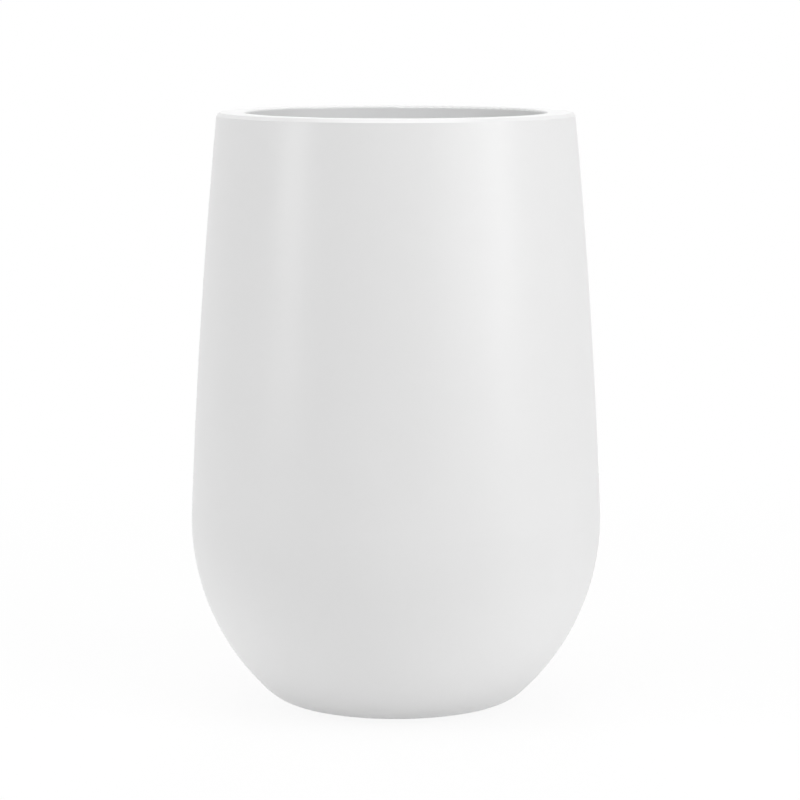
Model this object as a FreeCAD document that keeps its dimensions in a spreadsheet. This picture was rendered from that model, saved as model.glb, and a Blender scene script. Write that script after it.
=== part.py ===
import FreeCAD
import Part
import Sketcher
import math
import os
import re
from enum import IntEnum, auto

# A white floor planter: a bulged shell with a thick flat rim, and the lift-out planting liner that hangs
# inside it. The liner carries two drop handles (bails) and a water reservoir with its separator plate, fill
# shaft and level indicator. Millimetres, +Z up. The origin is on the floor, on the planter's own axis.
# The photograph is taken looking along +Y.

SHEET = "Sizes"

# Driving dimensions, written to the sheet: name, value, meaning.
SIZES = [
    # Shell
    ("overall_height", 600.0, "floor to rim"),
    ("belly_radius", 207.5, "widest radius"),
    ("belly_height", 189.0, "height of the widest radius"),
    ("side_radius", 7000.0, "slow curve of the side, between belly and rim"),
    ("foot_radius", 98.0, "flat under the base, up to its rounding"),
    ("base_round", 50.0, "rounding between base and bowl"),
    ("rim_radius", 180.0, "outside of the rim"),
    ("rim_width", 28.5, "flat top of the rim, from outside to mouth"),
    ("bevel_height", 3.4, "bevel at the rim's outer edge, upwards"),
    ("bevel_width", 3.0, "bevel at the rim's outer edge, inwards"),
    ("mouth_round", 2.0, "rounding of the rim's inner edge"),
    ("shell_wall", 5.0, "thickness of the shell's skin"),
    ("seat_depth", 45.0, "rim down to the seat ring that carries the liner"),
    ("seat_width", 13.0, "reach of the seat ring from the collar"),
    ("seat_thickness", 5.0, "seat ring"),
    ("foot_ring_width", 26.0, "flat ring that the pads are set in"),
    ("foot_slope", 8.0, "run of the slope inside the ring"),
    ("foot_rise", 5.0, "hollow under the middle of the base"),
    ("drain_radius", 12.0, "drain hole in the middle of the base"),
    # Floor pads
    ("pad_radius", 9.0, "floor pad"),
    ("pad_thickness", 4.0, "floor pad"),
    ("pad_proud", 2.0, "how far a pad stands out of the base"),
    ("pad_fit", 0.1, "gap round a pad in its recess"),
    ("pad_round", 1.2, "rounding of a pad's tread"),
    ("pad_count", 6, "floor pads round the ring"),
    # Drain plug
    ("plug_clearance", 0.1, "gap round the plug's stem"),
    ("plug_overlap", 6.0, "flange past the hole's edge"),
    ("plug_flange", 3.0, "thickness of the flange"),
    ("plug_tail", 2.0, "stem below the floor's underside"),
    ("plug_bevel", 1.0, "bevel at the stem's foot"),
    ("tab_width", 18.0, "pull tab"),
    ("tab_height", 17.0, "pull tab, above the flange"),
    ("tab_thickness", 5.0, "pull tab"),
    ("tab_round", 6.0, "top corners of the pull tab"),
    ("tab_hole", 4.5, "radius of the hole in the pull tab"),
    # Liner
    ("liner_clearance", 2.5, "lip to collar"),
    ("lip_thickness", 3.0, "lip that hangs on the seat ring"),
    ("bead_width", 2.5, "raised edge round the lip"),
    ("bead_height", 4.0, "raised edge above the lip"),
    ("liner_gap", 3.0, "wall to the seat ring's edge"),
    ("liner_wall", 3.0, "thickness of wall and floor"),
    ("liner_depth", 270.0, "seat ring down to the liner's underside"),
    ("liner_taper", 25.0, "radius lost between lip and floor"),
    ("liner_round", 10.0, "rounding between the tray's wall and floor, inside"),
    ("lap_fit", 0.1, "gap where lip ring and tray lap the wall"),
    ("lap_wall", 1.5, "lapping edge of lip ring and tray"),
    ("lap_length", 10.0, "lap along the wall"),
    ("overflow_radius", 4.0, "overflow hole at the reservoir's full level"),
    ("overflow_drop", 4.0, "overflow hole below the tray's lap"),
    # Bails and their hinges
    ("bail_spread", 8.0, "hinge axis to the middle plane"),
    ("bail_width", 7.0, "bail, across the lip"),
    ("bail_height", 10.0, "bail, upwards"),
    ("bail_round", 2.4, "rounding of the bail's edges"),
    ("bail_rest_gap", 0.3, "hinge boss above the lip"),
    ("bead_gap", 1.5, "bail to the raised edge"),
    ("boss_margin", 1.0, "hinge boss past the bail's height"),
    ("ear_thickness", 4.0, "hinge ear"),
    ("ear_gap", 0.6, "hinge ear to bail"),
    ("ear_margin", 4.5, "ear round its hinge hole"),
    ("ear_round", 3.0, "top corners of the ear"),
    ("pin_radius", 2.5, "hinge pin of the bail"),
    ("pin_clearance", 0.08, "gap round the hinge pin"),
    ("pin_overhang", 1.0, "pin past the ear's inner face"),
    # Separator plate and the wick cups that carry it
    ("reservoir_depth", 55.0, "liner floor up to the plate"),
    ("plate_thickness", 3.0, "plate"),
    ("plate_clearance", 1.0, "plate to the liner's wall"),
    ("weep_radius", 2.5, "drip hole in the plate"),
    ("weep_margin", 9.0, "drip hole to the plate's edge"),
    ("weep_inner_count", 6, "drip holes in the inner ring"),
    ("weep_outer_count", 18, "drip holes in the outer ring"),
    ("cup_margin", 30.0, "wick cup to the plate's edge"),
    ("cup_radius", 20.0, "wick cup, outside"),
    ("cup_wall", 2.0, "wick cup"),
    ("cup_fit", 0.3, "gap round a wick cup in the plate"),
    ("cup_shoulder", 4.0, "reach of the shoulder under the plate"),
    ("cup_shoulder_thickness", 2.5, "shoulder under the plate"),
    ("cup_count", 3, "wick cups round the plate"),
    ("slit_width", 3.0, "slit in a wick cup"),
    ("slit_margin", 6.0, "slit to the cup's ends"),
    # Fill shaft and its cap
    ("shaft_radius", 15.0, "fill shaft, outside"),
    ("shaft_wall", 1.8, "fill shaft"),
    ("shaft_margin", 4.6, "fill shaft to the rounding of the liner's floor"),
    ("shaft_clearance", 0.5, "gap round shaft and tube in the plate"),
    ("shaft_drop", 4.0, "shaft's mouth below the lip"),
    ("flare_reach", 3.5, "flared mouth past the shaft"),
    ("flare_height", 6.0, "flared mouth"),
    ("flare_edge", 2.5, "upright edge of the flared mouth"),
    ("notch_width", 10.0, "water notch at a tube's foot"),
    ("notch_height", 9.0, "water notch at a tube's foot"),
    ("cap_overhang", 1.5, "cap past the flared mouth"),
    ("cap_thickness", 3.0, "fill cap"),
    ("skirt_depth", 9.0, "cap's skirt inside the shaft"),
    ("skirt_wall", 1.6, "cap's skirt"),
    ("skirt_clearance", 0.3, "gap round the skirt"),
    ("grip_length", 24.0, "grip on the cap"),
    ("grip_height", 9.0, "grip on the cap"),
    ("grip_thickness", 4.0, "grip on the cap"),
    ("grip_round", 4.0, "top corners of the grip"),
    # Water level indicator
    ("tube_radius", 8.0, "indicator tube, outside"),
    ("tube_wall", 1.6, "indicator tube"),
    ("tube_gap", 3.5, "indicator window to fill cap"),
    ("float_clearance", 0.8, "gap round the float"),
    ("float_length", 34.0, "float"),
    ("float_travel", 35.0, "empty to full"),
    ("rod_radius", 1.5, "rod that the float carries"),
    ("rod_socket", 8.0, "depth of the rod's socket in the float"),
    ("rod_fit", 0.05, "gap round the rod in its socket"),
    ("marker_radius", 4.0, "marker at the rod's top"),
    ("marker_length", 10.0, "marker at the rod's top"),
    ("marker_gap", 1.0, "marker to the ends of its travel"),
    ("window_wall", 1.4, "clear window"),
    ("window_step", 1.0, "shoulder that sits on the tube"),
    ("window_overlap", 10.0, "window's sleeve down the tube"),
    ("window_clearance", 0.15, "gap between sleeve and tube"),
]

# What follows from the driving dimensions. A formula may use other formulas.
FORMULAS = {
    # Shell: the bowl's arc is tangent to the base rounding and upright at the belly.
    "foot_inside": "pad_proud + shell_wall",
    "floor_under": "pad_proud + foot_rise",
    "floor_top": "floor_under + shell_wall",
    "ring_radius": "foot_radius - foot_ring_width",
    "step_radius": "ring_radius - foot_slope",
    "pad_circle": "foot_radius - foot_ring_width / 2",
    "bowl_reach": "belly_radius - foot_radius",
    "bowl_drop": "belly_height - pad_proud - base_round",
    "bowl_radius": "(bowl_reach ^ 2 + bowl_drop ^ 2 - base_round ^ 2) / (2 * (bowl_reach - base_round))",
    "bowl_middle": "belly_radius - bowl_radius",
    "bowl_inside": "bowl_radius - shell_wall",
    "heel_cosine": "(foot_radius - bowl_middle) / (bowl_radius - base_round)",
    "heel_sine": "bowl_drop / (bowl_radius - base_round)",
    "mouth_radius": "rim_radius - rim_width",
    "rim_under": "overall_height - shell_wall",
    "collar_back": "mouth_radius + shell_wall",
    "seat_top": "overall_height - seat_depth",
    "seat_inside": "mouth_radius - seat_width",
    # Drain plug
    "plug_radius": "drain_radius - plug_clearance",
    "plug_foot": "floor_under - plug_tail",
    "plug_rim": "drain_radius + plug_overlap",
    "plug_top": "floor_top + plug_flange",
    # Liner
    "lip_top": "seat_top + lip_thickness",
    "lip_radius": "mouth_radius - liner_clearance",
    "bead_inside": "lip_radius - bead_width",
    "bead_top": "lip_top + bead_height",
    "liner_mouth": "seat_inside - liner_gap - liner_wall",
    "liner_base": "seat_top - liner_depth",
    "liner_floor": "liner_base + liner_wall",
    "liner_heel": "liner_mouth - liner_taper",
    "wall_slope": "liner_taper / (lip_top - liner_floor)",
    "neck_inside": "liner_mouth - wall_slope * lip_thickness",
    "neck_outside": "neck_inside + liner_wall",
    "ring_lap": "neck_outside + lap_fit",
    "tray_top": "liner_floor + reservoir_depth",
    "tray_inside": "liner_heel + wall_slope * reservoir_depth",
    "tray_outside": "tray_inside + liner_wall",
    "tray_heel": "liner_heel + liner_wall - wall_slope * liner_wall",
    "tray_lap": "tray_outside + wall_slope * lap_length + lap_fit",
    "overflow_height": "tray_top - lap_length - overflow_drop - overflow_radius",
    # Bails: the ears stand clear of the bail's inner edge, also at their corners.
    "bail_radius": "bead_inside - bead_gap - bail_width / 2",
    "bail_inside": "bail_radius - bail_width / 2",
    "bail_outside": "bail_radius + bail_width / 2",
    "boss_radius": "bail_height / 2 + boss_margin",
    "hinge_height": "lip_top + bail_rest_gap + boss_radius",
    "bail_low": "hinge_height - bail_height / 2",
    "bail_high": "hinge_height + bail_height / 2",
    "ear_reach": "pin_radius + ear_margin",
    "ear_half": "bail_spread + ear_reach",
    "ear_top": "hinge_height + ear_reach",
    "boss_inside": "sqrt(bail_inside ^ 2 - ear_half ^ 2)",
    "ear_outside": "boss_inside - ear_gap",
    "ear_inside": "ear_outside - ear_thickness",
    "pin_end": "ear_inside - pin_overhang",
    # Separator plate and wick cups
    "plate_under": "tray_top",
    "plate_top": "plate_under + plate_thickness",
    "plate_radius": "tray_inside - plate_clearance",
    "weep_inner_circle": "(cup_circle - cup_radius) / 2",
    "weep_outer_circle": "plate_radius - weep_margin - weep_radius",
    "cup_circle": "plate_radius - cup_margin - cup_radius",
    "cup_bore": "cup_radius - cup_wall",
    "shoulder_radius": "cup_radius + cup_shoulder",
    "shoulder_under": "plate_under - cup_shoulder_thickness",
    "slit_low": "liner_floor + slit_margin",
    "slit_high": "shoulder_under - slit_margin",
    # Fill shaft and cap
    "shaft_place": "liner_heel - liner_round - shaft_margin - shaft_radius",
    "shaft_top": "lip_top - shaft_drop",
    "shaft_bore": "shaft_radius - shaft_wall",
    "flare_radius": "shaft_radius + flare_reach",
    "cap_radius": "flare_radius + cap_overhang",
    "cap_top": "shaft_top + cap_thickness",
    "skirt_radius": "shaft_bore - skirt_clearance",
    "skirt_low": "shaft_top - skirt_depth",
    # Water level indicator
    "sleeve_bore": "tube_radius + window_clearance",
    "window_radius": "sleeve_bore + window_wall",
    "window_bore": "tube_radius - window_step",
    "window_rise": "2 * marker_gap + marker_length + float_travel + window_wall",
    "tube_place": "cap_radius + tube_gap + window_radius",
    "tube_top": "cap_top - window_rise",
    "tube_bore": "tube_radius - tube_wall",
    "float_radius": "tube_bore - float_clearance",
    "float_top": "liner_floor + float_length",
    "socket_floor": "float_top - rod_socket",
    "marker_base": "tube_top + marker_gap",
    "marker_top": "marker_base + marker_length",
}


class At(IntEnum):
    """The points of a line or arc in a sketch."""

    START = auto()
    END = auto()
    MIDDLE = auto()


NAME = re.compile(r"[a-z]+(?:_[a-z]+)+")
ORIGIN = (-1, At.START)
FULL_TURN = "360 deg"
UPWARDS = FreeCAD.Vector(0, 0, 1)
ACROSS = FreeCAD.Vector(1, 0, 0)
ALONG = FreeCAD.Vector(0, 1, 0)
TOLERANCE = 1e-4


def spelled_out(formula):
    """The formula as an expression on the sheet's cells."""

    def cell(match):
        name = match.group()
        if name in FORMULAS:
            return "(" + spelled_out(FORMULAS[name]) + ")"
        return SHEET + "." + name

    return NAME.sub(cell, formula)


def measure(item, formula):
    """The formula's present value."""
    value = item.evalExpression(spelled_out(formula))
    return float(getattr(value, "Value", value))


def bind(item, path, formula):
    """Ties a property of the item to a formula."""
    item.setExpression(path, spelled_out(formula))


def add_sheet(document):
    """The sheet of driving dimensions, one row each: name, value, meaning."""
    sheet = document.addObject("Spreadsheet::Sheet", SHEET)
    for row, (name, value, meaning) in enumerate(SIZES, start=1):
        sheet.set(f"A{row}", name)
        sheet.set(f"B{row}", str(value))
        sheet.set(f"C{row}", meaning)
        sheet.setAlias(f"B{row}", name)
    document.recompute()


def origin_part(body, role):
    """One of the body's own planes or axes."""
    return next(item for item in body.Origin.OriginFeatures if item.Role == role)


class Outline:
    """A sketch whose points are placed by formulas and then held by constraints with the same formulas."""

    def __init__(self, body, role, offset="0"):
        self.sketch = body.newObject("Sketcher::SketchObject", body.Name + "_outline")
        self.sketch.AttachmentSupport = (origin_part(body, role), [""])
        self.sketch.MapMode = "FlatFace"
        bind(self.sketch, "AttachmentOffset.Base.z", offset)

    def point(self, spot):
        across, up = (measure(self.sketch, formula) for formula in spot)
        return FreeCAD.Vector(across, up, 0)

    def constrain(self, kind, *members):
        return self.sketch.addConstraint(Sketcher.Constraint(kind, *members))

    def dimension(self, kind, formula, *members):
        """A dimension that follows a formula."""
        index = self.constrain(kind, *members, measure(self.sketch, formula))
        bind(self.sketch, f"Constraints[{index}]", formula)

    def hold(self, member, spot):
        """Holds an end or a centre at a spot."""
        across, up = spot
        self.dimension("DistanceX", across, *ORIGIN, *member)
        self.dimension("DistanceY", up, *ORIGIN, *member)

    def meet(self, first, second):
        """Two ends, or two centres, are one point."""
        self.constrain("Coincident", *first, *second)

    def blend(self, first, second):
        """Two ends meet and run on smoothly."""
        self.constrain("Tangent", *first, *second)

    def line(self, start, end):
        return self.sketch.addGeometry(Part.LineSegment(self.point(start), self.point(end)))

    def bow(self, start, end, radius):
        """An arc that runs anticlockwise from start to end. Constraints then place it exactly."""
        first, last = self.point(start), self.point(end)
        size = measure(self.sketch, radius)
        half = (last - first) * 0.5
        inward = FreeCAD.Vector(-half.y, half.x, 0).normalize()
        centre = first + half + inward * math.sqrt(size**2 - half.Length**2)
        circle = Part.Circle(centre, UPWARDS, size)
        arc = Part.ArcOfCircle(circle, circle.parameter(first), circle.parameter(last))
        return self.sketch.addGeometry(arc)

    def circle(self, centre, radius):
        """A circle held at its centre and radius."""
        circle = Part.Circle(self.point(centre), UPWARDS, measure(self.sketch, radius))
        index = self.sketch.addGeometry(circle)
        self.hold((index, At.MIDDLE), centre)
        self.dimension("Radius", radius, index)

    def chain(self, *corners):
        """Straight lines from corner to corner, each corner held. Gives the first and the last line."""
        lines = [self.line(a, b) for a, b in zip(corners, corners[1:])]
        for before, after in zip(lines, lines[1:]):
            self.meet((before, At.END), (after, At.START))
        for line, corner in zip(lines, corners):
            self.hold((line, At.START), corner)
        self.hold((lines[-1], At.END), corners[-1])
        return lines[0], lines[-1]

    def loop(self, *corners):
        """A closed run of straight lines through the corners, each corner held."""
        lines = [self.line(a, b) for a, b in zip(corners, corners[1:] + corners[:1])]
        for before, after, corner in zip(lines, lines[1:] + lines[:1], corners[1:] + corners[:1]):
            self.meet((before, At.END), (after, At.START))
            self.hold((after, At.START), corner)

    def box(self, left, right, low, high):
        """An upright rectangle."""
        self.loop((left, low), (right, low), (right, high), (left, high))


def ring_spots(document, count, circle, first_angle=0):
    """Places evenly spaced on a circle about the planter's axis, as pairs of formulas."""
    copies = round(measure(document.getObject(SHEET), count))
    angles = [first_angle + 360 * i / copies for i in range(copies)]
    return [(f"{circle} * cos({angle})", f"{circle} * sin({angle})") for angle in angles]


def add_body(document, label, across="0", along="0"):
    """An empty piece, with its own axis at a place on the floor plan."""
    body = document.addObject("PartDesign::Body", label)
    body.Label = label
    bind(body, "Placement.Base.x", across)
    bind(body, "Placement.Base.y", along)
    return body


def revolve(body, outline, angle=FULL_TURN, evenly=False):
    """Turns an outline about its upright axis, from its plane on or evenly to both sides of it."""
    feature = body.newObject("PartDesign::Revolution", body.Name + "_turned")
    feature.Profile = outline.sketch
    feature.ReferenceAxis = (outline.sketch, ["V_Axis"])
    feature.Midplane = evenly
    bind(feature, "Angle", angle)
    return feature


def push(body, kind, outline, length, evenly=False, reverse=False):
    """Adds (Pad) or cuts (Pocket) along the outline's normal, one way or evenly to both sides."""
    feature = body.newObject("PartDesign::" + kind, body.Name + "_" + kind.lower())
    feature.Profile = outline.sketch
    feature.SideType = "Symmetric" if evenly else "One side"
    feature.Reversed = reverse
    bind(feature, "Length", length)
    return feature


def repeat_round(body, features, count):
    """Copies of the features, evenly spaced about the body's own upright axis."""
    pattern = body.newObject("PartDesign::PolarPattern", body.Name + "_ring")
    pattern.Originals = features
    pattern.Axis = (origin_part(body, "Z_Axis"), [""])
    bind(pattern, "Angle", FULL_TURN)
    bind(pattern, "Occurrences", count)
    body.Tip = pattern


def mirror(body, features, role):
    """A mirrored copy of the features across one of the body's planes."""
    copy = body.newObject("PartDesign::Mirrored", body.Name + "_mirrored")
    copy.Originals = features
    copy.MirrorPlane = (origin_part(body, role), [""])
    body.Tip = copy


def round_edges(body, radius, chosen):
    """Rounds the edges of the body so far for which chosen(edge) is true."""
    body.Document.recompute()
    base = body.Tip
    names = [f"Edge{i}" for i, edge in enumerate(base.Shape.Edges, start=1) if chosen(edge)]
    if not names:
        raise RuntimeError(f"{body.Label}: no edge to round by {radius}")
    feature = body.newObject("PartDesign::Fillet", body.Name + "_rounded")
    feature.Base = (base, names)
    bind(feature, "Radius", radius)
    body.Tip = feature


def is_ring(edge, radius, height):
    """True for a circle or arc about an upright axis, with that radius and at that height."""
    curve = edge.Curve
    if not isinstance(curve, Part.Circle) or abs(curve.Axis.dot(UPWARDS)) < 1 - TOLERANCE:
        return False
    return abs(curve.Radius - radius) < TOLERANCE and abs(curve.Center.z - height) < TOLERANCE


def is_straight(edge, direction, above):
    """True for a straight edge along a direction that lies above a height."""
    if not isinstance(edge.Curve, Part.Line) or abs(edge.Curve.Direction.dot(direction)) < 1 - TOLERANCE:
        return False
    return edge.BoundBox.ZMin > above + TOLERANCE


def build_outer_shell(document):
    """The vessel: base with foot ring, bowl, leaning side and flat rim."""
    body = add_body(document, "outer_shell")
    outline = Outline(body, "XZ_Plane")
    heel = ("bowl_middle + bowl_radius * heel_cosine", "belly_height - bowl_radius * heel_sine")
    heel_inside = ("bowl_middle + bowl_inside * heel_cosine", "belly_height - bowl_inside * heel_sine")
    belly = ("belly_radius", "belly_height")
    belly_inside = ("belly_radius - shell_wall", "belly_height")
    rim_corner = ("rim_radius", "overall_height - bevel_height")
    rim_edge = ("rim_radius - bevel_width", "overall_height")
    mouth_edge = ("mouth_radius + mouth_round", "overall_height")
    mouth_corner = ("mouth_radius", "overall_height - mouth_round")
    mouth_under = ("mouth_radius", "rim_under")
    rim_inside = ("rim_radius - shell_wall", "rim_under")

    floor, foot = outline.chain(
        ("foot_radius", "foot_inside"),
        ("ring_radius", "foot_inside"),
        ("step_radius", "floor_top"),
        ("drain_radius", "floor_top"),
        ("drain_radius", "floor_under"),
        ("step_radius", "floor_under"),
        ("ring_radius", "pad_proud"),
        ("foot_radius", "pad_proud"),
    )
    base = outline.bow(("foot_radius", "pad_proud"), heel, "base_round")
    bowl = outline.bow(heel, belly, "bowl_radius")
    side = outline.bow(belly, rim_corner, "side_radius")
    bevel = outline.line(rim_corner, rim_edge)
    rim_flat = outline.line(rim_edge, mouth_edge)
    mouth = outline.bow(mouth_edge, mouth_corner, "mouth_round")
    mouth_wall = outline.line(mouth_corner, mouth_under)
    ceiling = outline.line(mouth_under, rim_inside)
    side_inside = outline.bow(belly_inside, rim_inside, "side_radius - shell_wall")
    bowl_inside = outline.bow(heel_inside, belly_inside, "bowl_inside")
    base_inside = outline.bow(("foot_radius", "foot_inside"), heel_inside, "base_round - shell_wall")

    # Outside, from the foot up to the rim.
    outline.hold((bowl, At.MIDDLE), ("bowl_middle", "belly_height"))
    outline.blend((foot, At.END), (base, At.START))
    outline.blend((base, At.END), (bowl, At.START))
    outline.blend((bowl, At.END), (side, At.START))
    outline.meet((side, At.END), (bevel, At.START))
    outline.hold((bevel, At.START), rim_corner)
    outline.hold((bevel, At.END), rim_edge)
    for arc, radius in ((base, "base_round"), (side, "side_radius")):
        outline.dimension("Radius", radius, arc)
    # Rim.
    outline.constrain("Horizontal", rim_flat)
    outline.meet((bevel, At.END), (rim_flat, At.START))
    outline.blend((rim_flat, At.END), (mouth, At.START))
    outline.dimension("Radius", "mouth_round", mouth)
    outline.blend((mouth, At.END), (mouth_wall, At.START))
    outline.constrain("Vertical", mouth_wall)
    outline.hold((mouth_wall, At.END), mouth_under)
    outline.meet((mouth_wall, At.END), (ceiling, At.START))
    outline.constrain("Horizontal", ceiling)
    # Inside, at one wall's thickness from the outside.
    for inner, outer in ((side_inside, side), (bowl_inside, bowl), (base_inside, base)):
        outline.meet((inner, At.MIDDLE), (outer, At.MIDDLE))
    outline.meet((ceiling, At.END), (side_inside, At.END))
    outline.blend((side_inside, At.START), (bowl_inside, At.END))
    outline.blend((bowl_inside, At.START), (base_inside, At.END))
    outline.meet((base_inside, At.START), (floor, At.START))
    revolve(body, outline)

    recess = Outline(body, "XY_Plane")
    recess.circle(("pad_circle", "0"), "pad_radius + pad_fit")
    cut = push(body, "Pocket", recess, "pad_thickness", reverse=True)
    repeat_round(body, [cut], "pad_count")
    return body


def build_mouth_collar(document):
    """Plain tube welded under the rim, flush with the mouth."""
    body = add_body(document, "mouth_collar")
    outline = Outline(body, "XZ_Plane")
    outline.box("mouth_radius", "collar_back", "seat_top", "rim_under")
    revolve(body, outline)
    return body


def build_seat_ring(document):
    """Flat ring welded under the collar, which the liner's lip hangs on."""
    body = add_body(document, "seat_ring")
    outline = Outline(body, "XZ_Plane")
    outline.box("seat_inside", "collar_back", "seat_top - seat_thickness", "seat_top")
    revolve(body, outline)
    return body


def build_floor_pad(document, number, spot):
    """Rubber pad in one of the foot ring's recesses."""
    body = add_body(document, f"floor_pad_{number}", *spot)
    outline = Outline(body, "XY_Plane")
    outline.circle(("0", "0"), "pad_radius")
    push(body, "Pad", outline, "pad_thickness")
    radius = measure(body, "pad_radius")
    round_edges(body, "pad_round", lambda edge: is_ring(edge, radius, 0))
    return body


def build_drain_plug(document):
    """Rubber plug with a stem in the drain hole, a flange on the floor and a pull tab."""
    body = add_body(document, "drain_plug")
    outline = Outline(body, "XZ_Plane")
    outline.loop(
        ("0", "plug_foot"),
        ("plug_radius - plug_bevel", "plug_foot"),
        ("plug_radius", "plug_foot + plug_bevel"),
        ("plug_radius", "floor_top"),
        ("plug_rim", "floor_top"),
        ("plug_rim", "plug_top"),
        ("0", "plug_top"),
    )
    revolve(body, outline)
    tab = Outline(body, "XZ_Plane")
    tab.box("-tab_width / 2", "tab_width / 2", "plug_top", "plug_top + tab_height")
    tab.circle(("0", "plug_top + tab_height - tab_width / 2"), "tab_hole")
    push(body, "Pad", tab, "tab_thickness", evenly=True)
    flange = measure(body, "plug_top")
    round_edges(body, "tab_round", lambda edge: is_straight(edge, ALONG, flange))
    return body


def build_liner(document):
    """Tapered wall of the planting liner, between lip ring and reservoir tray."""
    body = add_body(document, "liner")
    outline = Outline(body, "XZ_Plane")
    outline.loop(
        ("tray_inside", "tray_top"),
        ("tray_outside", "tray_top"),
        ("neck_outside", "seat_top"),
        ("neck_inside", "seat_top"),
    )
    revolve(body, outline)
    return body


def build_reservoir_tray(document):
    """Bottom of the liner: a round-heeled tray whose edge laps the wall, with an overflow hole in front."""
    body = add_body(document, "reservoir_tray")
    outline = Outline(body, "XZ_Plane")
    outline.loop(
        ("0", "liner_base"),
        ("tray_heel", "liner_base"),
        ("tray_outside - wall_slope * lap_length", "tray_top - lap_length"),
        ("tray_lap + lap_wall", "tray_top - lap_length"),
        ("tray_lap + lap_wall", "tray_top + lap_length"),
        ("tray_lap", "tray_top + lap_length"),
        ("tray_lap", "tray_top"),
        ("tray_inside", "tray_top"),
        ("liner_heel", "liner_floor"),
        ("0", "liner_floor"),
    )
    revolve(body, outline)
    inside = (measure(body, "liner_heel"), measure(body, "liner_floor"))
    outside = (measure(body, "tray_heel"), measure(body, "liner_base"))
    round_edges(body, "liner_round", lambda edge: is_ring(edge, *inside))
    round_edges(body, "liner_round + liner_wall", lambda edge: is_ring(edge, *outside))
    overflow = Outline(body, "XZ_Plane")
    overflow.circle(("0", "overflow_height"), "overflow_radius")
    push(body, "Pocket", overflow, "tray_outside")
    return body


def build_lip_ring(document):
    """Top of the liner: a ring that laps the wall and hangs on the seat ring, with ears for the bails."""
    body = add_body(document, "lip_ring")
    outline = Outline(body, "XZ_Plane")
    outline.loop(
        ("neck_inside", "seat_top"),
        ("ring_lap", "seat_top"),
        ("ring_lap", "seat_top - lap_length"),
        ("ring_lap + lap_wall", "seat_top - lap_length"),
        ("ring_lap + lap_wall", "seat_top"),
        ("lip_radius", "seat_top"),
        ("lip_radius", "bead_top"),
        ("bead_inside", "bead_top"),
        ("bead_inside", "lip_top"),
        ("liner_mouth", "lip_top"),
    )
    revolve(body, outline)
    ear = Outline(body, "YZ_Plane", "ear_inside")
    ear.box("-ear_half", "ear_half", "lip_top - lip_thickness / 2", "ear_top")
    ear.circle(("-bail_spread", "hinge_height"), "pin_radius + pin_clearance")
    ear.circle(("bail_spread", "hinge_height"), "pin_radius + pin_clearance")
    plate = push(body, "Pad", ear, "ear_thickness")
    mirror(body, [plate], "YZ_Plane")
    lip = measure(body, "lip_top")
    round_edges(body, "ear_round", lambda edge: is_straight(edge, ACROSS, lip))
    return body


def build_bail(document, label, side):
    """A drop handle: a half ring that lies over the lip, with a hinge boss and a pin at each end."""
    body = add_body(document, label)
    section = Outline(body, "YZ_Plane")
    section.box(f"{side} * bail_outside", f"{side} * bail_inside", "bail_low", "bail_high")
    revolve(body, section, "180 deg - 2 * asin(bail_spread / bail_radius)", evenly=True)
    radii = [measure(body, name) for name in ("bail_inside", "bail_outside")]
    heights = [measure(body, name) for name in ("bail_low", "bail_high")]
    round_edges(
        body,
        "bail_round",
        lambda edge: any(is_ring(edge, radius, height) for radius in radii for height in heights),
    )
    hinge = (f"{side} * bail_spread", "hinge_height")
    boss = Outline(body, "YZ_Plane", "boss_inside")
    boss.circle(hinge, "boss_radius")
    knuckle = push(body, "Pad", boss, "bail_outside - boss_inside")
    pin = Outline(body, "YZ_Plane", "pin_end")
    pin.circle(hinge, "pin_radius")
    axle = push(body, "Pad", pin, "bail_radius - pin_end")
    mirror(body, [knuckle, axle], "YZ_Plane")
    return body


def cup_spots(document):
    """Places of the wick cups: the first is at the front, away from the fill shaft."""
    return ring_spots(document, "cup_count", "cup_circle", first_angle=-90)


def build_separator_plate(document):
    """False floor over the reservoir, which lies on the wick cups' shoulders and lets the tubes through."""
    body = add_body(document, "separator_plate")
    disc = Outline(body, "XY_Plane", "plate_under")
    disc.circle(("0", "0"), "plate_radius")
    disc.circle(("0", "shaft_place"), "shaft_radius + shaft_clearance")
    disc.circle(("tube_place", "shaft_place"), "tube_radius + shaft_clearance")
    for spot in cup_spots(document):
        disc.circle(spot, "cup_radius + cup_fit")
    push(body, "Pad", disc, "plate_thickness")
    for ring in ("inner", "outer"):
        weep = Outline(body, "XY_Plane", "plate_top")
        weep.circle((f"weep_{ring}_circle", "0"), "weep_radius")
        hole = push(body, "Pocket", weep, "plate_thickness")
        repeat_round(body, [hole], f"weep_{ring}_count")
    return body


def build_wick_cup(document, number, spot):
    """Slit cup that stands on the liner's floor, carries the plate and wicks water up into the soil."""
    body = add_body(document, f"wick_cup_{number}", *spot)
    outline = Outline(body, "XZ_Plane")
    outline.loop(
        ("0", "liner_floor"),
        ("cup_radius", "liner_floor"),
        ("cup_radius", "shoulder_under"),
        ("shoulder_radius", "shoulder_under"),
        ("shoulder_radius", "plate_under"),
        ("cup_radius", "plate_under"),
        ("cup_radius", "plate_top"),
        ("cup_bore", "plate_top"),
        ("cup_bore", "liner_floor + cup_wall"),
        ("0", "liner_floor + cup_wall"),
    )
    revolve(body, outline)
    for plane in ("XZ_Plane", "YZ_Plane"):
        slit = Outline(body, plane)
        slit.box("-slit_width / 2", "slit_width / 2", "slit_low", "slit_high")
        push(body, "Pocket", slit, "4 * cup_radius", evenly=True)
    return body


def cut_notch(body, radius):
    """Cuts a water notch through both sides of a tube's foot."""
    notch = Outline(body, "XZ_Plane")
    notch.box("-notch_width / 2", "notch_width / 2", "liner_floor", "liner_floor + notch_height")
    push(body, "Pocket", notch, f"4 * {radius}", evenly=True)


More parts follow.
